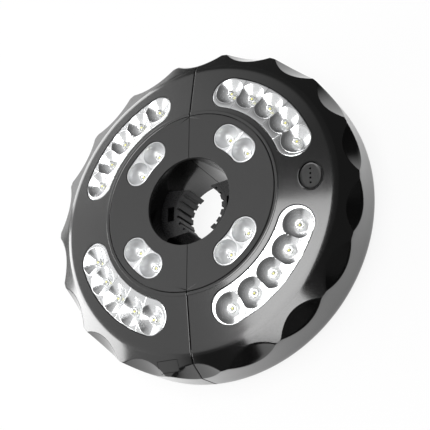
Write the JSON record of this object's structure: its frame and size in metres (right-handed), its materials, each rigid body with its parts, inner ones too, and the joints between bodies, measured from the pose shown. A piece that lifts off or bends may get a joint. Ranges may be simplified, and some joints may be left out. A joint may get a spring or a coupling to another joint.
{
  "type": "patio umbrella light",
  "caption": "Cordless ring-shaped patio umbrella light that opens on a hinge and grips the pole with sprung ribbed jaws, with light clusters, a power button and fold-out hooks.",
  "frame": {"origin": "centre of the pole hole, on the flat back plane (the lamp's bounding box centre, at its bottom)", "axes": "+Z along the pole, out of the light face; +Y towards the hinge; -Y towards the latch; +X towards the power button"},
  "size_m": [0.22, 0.2224, 0.046],
  "materials": {
    "shell": "gloss",
    "face_plate": "matt",
    "reflector": "polished",
    "dome": "clear",
    "chip": "satin",
    "board": "satin",
    "jaw": "satin",
    "pad": "matt",
    "button": "satin",
    "switch": "matt",
    "hook": "satin",
    "cell": "satin",
    "contact": "satin",
    "spring": "satin",
    "screw": "satin",
    "pin": "polished",
    "wire": "satin"
  },
  "bodies": {
    "left_half": {"left_front_shell": "shell", "left_face_plate": "face_plate", "left_back_cover": "shell", "left_battery_cells": "cell", "left_battery_contacts": "contact", "left_light_board": "board", "left_light_domes": "dome", "left_light_chips": "chip", "left_upper_outer_reflector": "reflector", "left_lower_outer_reflector": "reflector", "left_upper_inner_reflector": "reflector", "left_lower_inner_reflector": "reflector", "left_board_screws": "screw", "left_cover_screws": "screw", "left_hook_pin": "pin", "left_battery_lead": "wire", "hinge_pin": "pin", "latch_spring": "spring", "hinge_lead": "wire", "left_jaw_springs": "spring"},
    "right_half": {"right_front_shell": "shell", "right_face_plate": "face_plate", "right_back_cover": "shell", "right_battery_cells": "cell", "right_battery_contacts": "contact", "right_light_board": "board", "right_light_domes": "dome", "right_light_chips": "chip", "right_upper_outer_reflector": "reflector", "right_lower_outer_reflector": "reflector", "right_upper_inner_reflector": "reflector", "right_lower_inner_reflector": "reflector", "right_board_screws": "screw", "right_cover_screws": "screw", "right_hook_pin": "pin", "right_battery_lead": "wire", "right_jaw_springs": "spring", "latch_tongue": "jaw", "tongue_screws": "screw", "switch_board": "board", "switch_screws": "screw", "power_switch": "switch"},
    "left_jaw": {"left_jaw_block": "jaw", "left_jaw_pad": "pad"},
    "right_jaw": {"right_jaw_block": "jaw", "right_jaw_pad": "pad"},
    "latch_button": {"latch_button": "shell"},
    "power_button": {"power_button": "button"},
    "left_battery_door": {"left_battery_door": "shell"},
    "right_battery_door": {"right_battery_door": "shell"},
    "left_hook": {"left_hanging_hook": "hook"},
    "right_hook": {"right_hanging_hook": "hook"}
  },
  "joints": [
    {"name": "right_half_hinge", "type": "hinge", "parent": "left_half", "child": "right_half", "pos_m": [0, 0.109, 0.01], "axis": [0, 0, 1], "range_deg": [0, 60], "deforming": ["hinge_lead"]},
    {"name": "left_jaw_slide", "type": "slide", "parent": "left_half", "child": "left_jaw", "axis": [-1, 0, 0], "range_m": [0, 0.0075], "stiffness_N_per_m": 800, "springref_m": -0.006, "deforming": ["left_jaw_springs"]},
    {"name": "right_jaw_slide", "type": "slide", "parent": "right_half", "child": "right_jaw", "axis": [1, 0, 0], "range_m": [0, 0.0075], "stiffness_N_per_m": 800, "springref_m": -0.006, "deforming": ["right_jaw_springs"]},
    {"name": "latch_button_slide", "type": "slide", "parent": "left_half", "child": "latch_button", "axis": [0, 0, -1], "range_m": [0, 0.002], "stiffness_N_per_m": 600, "springref_m": -0.003, "deforming": ["latch_spring"]},
    {"name": "power_button_slide", "type": "slide", "parent": "right_half", "child": "power_button", "axis": [-0.1642, 0, -0.9864], "range_m": [0, 0.001], "stiffness_N_per_m": 1500, "springref_m": -0.0004},
    {"name": "left_battery_door_slide", "type": "slide", "parent": "left_half", "child": "left_battery_door", "axis": [0, 0, -1], "range_m": [0, 0.03]},
    {"name": "right_battery_door_slide", "type": "slide", "parent": "right_half", "child": "right_battery_door", "axis": [0, 0, -1], "range_m": [0, 0.03]},
    {"name": "left_hook_pivot", "type": "hinge", "parent": "left_half", "child": "left_hook", "pos_m": [-0.047, -0.07, 0.0025], "axis": [-1, 0, 0], "range_deg": [0, 90]},
    {"name": "right_hook_pivot", "type": "hinge", "parent": "right_half", "child": "right_hook", "pos_m": [0.047, 0.07, 0.0025], "axis": [1, 0, 0], "range_deg": [0, 90]}
  ]
}
